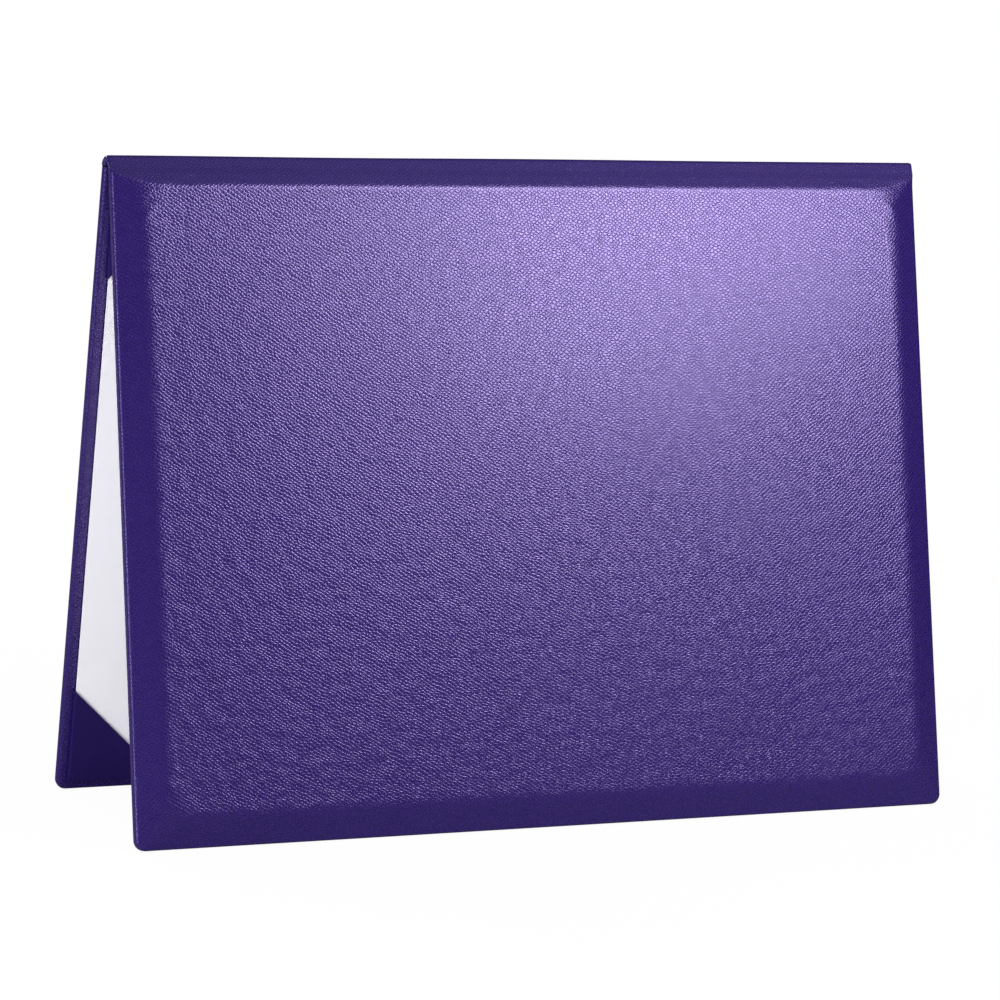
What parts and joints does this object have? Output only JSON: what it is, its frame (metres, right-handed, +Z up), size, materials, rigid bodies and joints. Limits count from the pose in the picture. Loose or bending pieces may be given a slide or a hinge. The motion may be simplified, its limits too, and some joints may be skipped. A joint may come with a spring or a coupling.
{
  "type": "diploma cover",
  "caption": "Padded landscape diploma cover standing as a tent, with a hinged front cover, white lining cards and cloth corner pockets that hold a certificate",
  "frame": {"origin": "centre of the bottom of the bounding box, on the floor under the tent, midway between the feet of the two covers", "axes": "+X runs along the hinge, to the viewer's right when the padded front cover is faced; +Y runs from the front cover to the back cover; +Z is up"},
  "size_m": [0.197, 0.067, 0.1484],
  "materials": {
    "leatherette": "satin",
    "pocket": "satin",
    "lining": "matte",
    "board": "matte",
    "foam": "matte"
  },
  "bodies": {
    "back_cover": {"back_board": "board", "back_leatherette": "leatherette", "back_lining": "lining", "pocket_upper_left": "pocket", "pocket_upper_right": "pocket", "pocket_lower_left": "pocket", "pocket_lower_right": "pocket", "spine_leatherette": "leatherette", "inner_hinge_strip": "leatherette"},
    "front_cover": {"front_board": "board", "front_foam_pad": "foam", "front_leatherette": "leatherette", "front_lining": "lining"}
  },
  "joints": [
    {"name": "cover_hinge", "type": "hinge", "parent": "back_cover", "child": "front_cover", "pos_m": [0, 0.00069, 0.14648], "axis": [1, 0, 0], "range_deg": [-157.2, 22.8], "deforming": ["spine_leatherette", "inner_hinge_strip"]}
  ]
}
